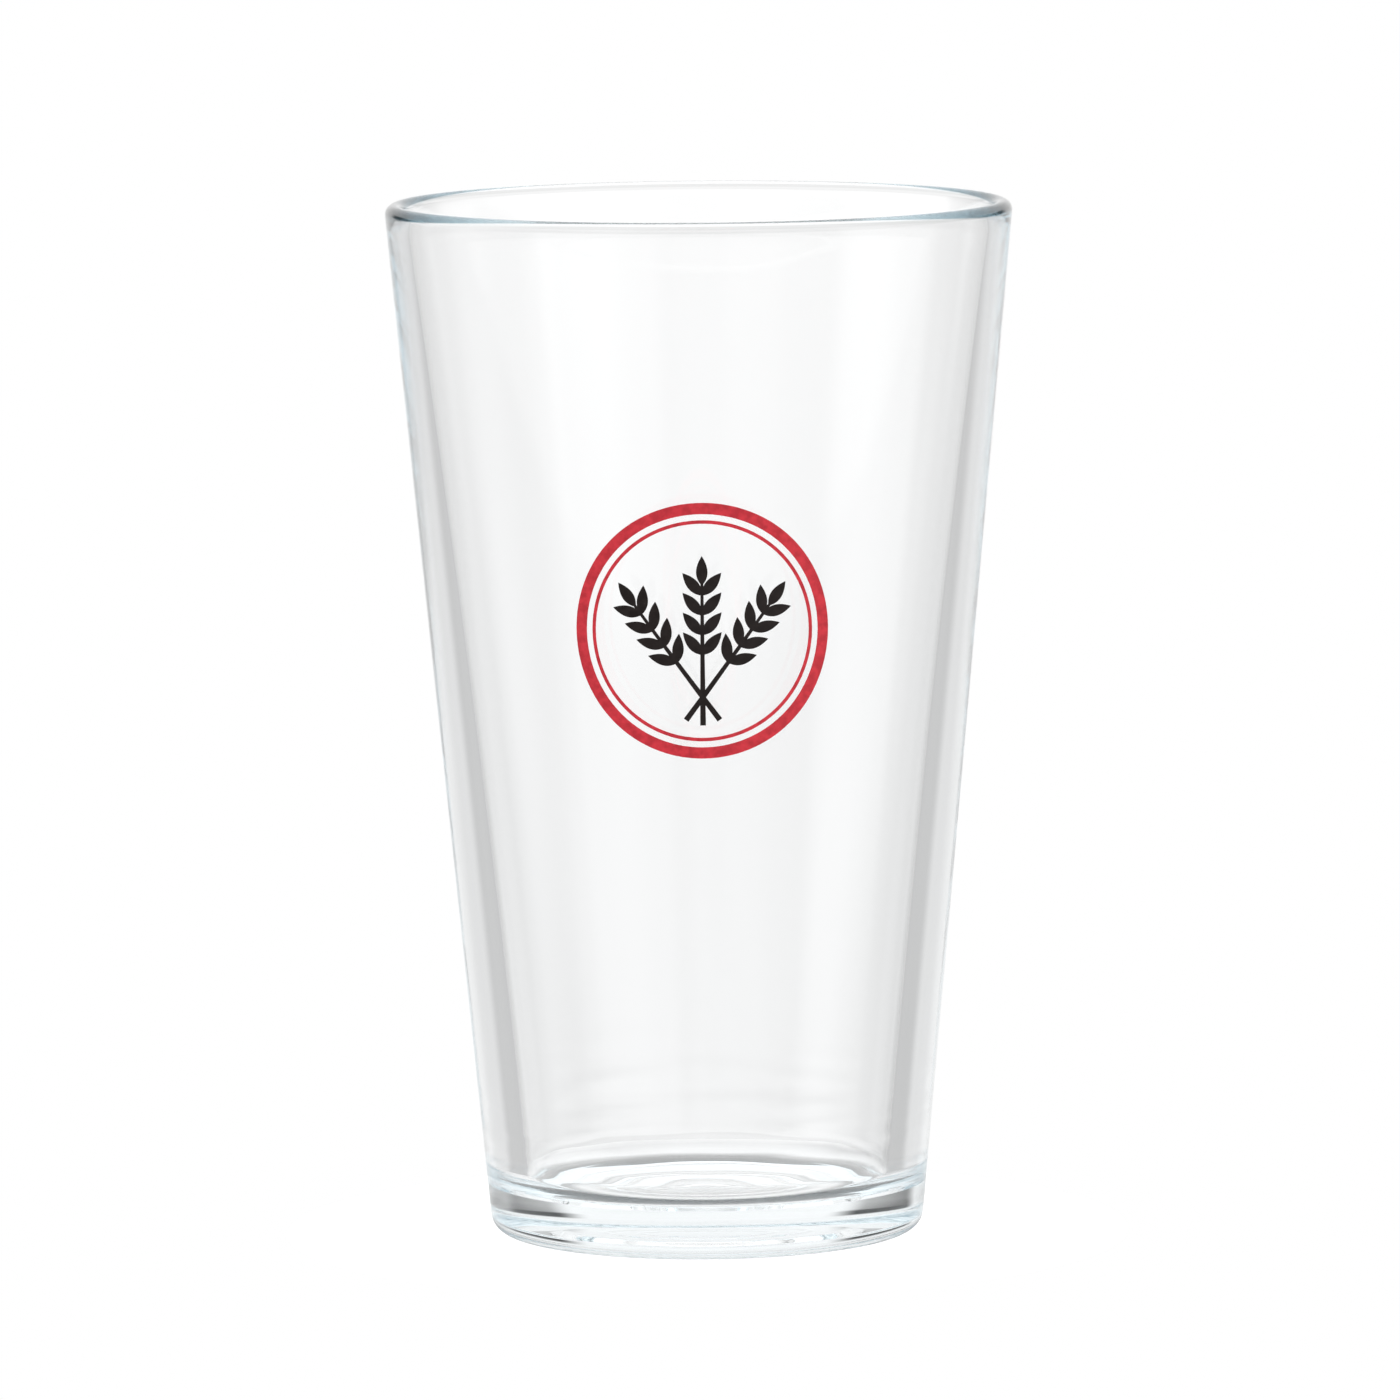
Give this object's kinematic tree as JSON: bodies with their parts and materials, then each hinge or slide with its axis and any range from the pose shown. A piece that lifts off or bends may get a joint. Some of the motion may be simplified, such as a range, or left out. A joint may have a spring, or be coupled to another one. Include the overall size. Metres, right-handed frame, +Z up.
{
  "type": "pint glass",
  "caption": "Straight-sided tapered clear glass tumbler with a rounded rim, a thick base and a small two-colour enamel emblem on the front.",
  "frame": {"origin": "on the glass's axis at the level of the foot ring that it stands on", "axes": "+Z up along the glass's axis, from the foot to the rim; the emblem faces -Y"},
  "size_m": [0.0888, 0.0888, 0.147],
  "materials": {
    "clear_glass": "clear pressed soda-lime glass, fire-polished, very slightly blue-green through the edges",
    "red_enamel": "fired ceramic enamel print, satin red",
    "black_enamel": "fired ceramic enamel print, satin warm black"
  },
  "bodies": {
    "root": {"glass_tumbler": "clear_glass", "red_enamel_outer_ring": "red_enamel", "red_enamel_inner_ring": "red_enamel", "black_enamel_sheaf": "black_enamel"}
  },
  "joints": []
}
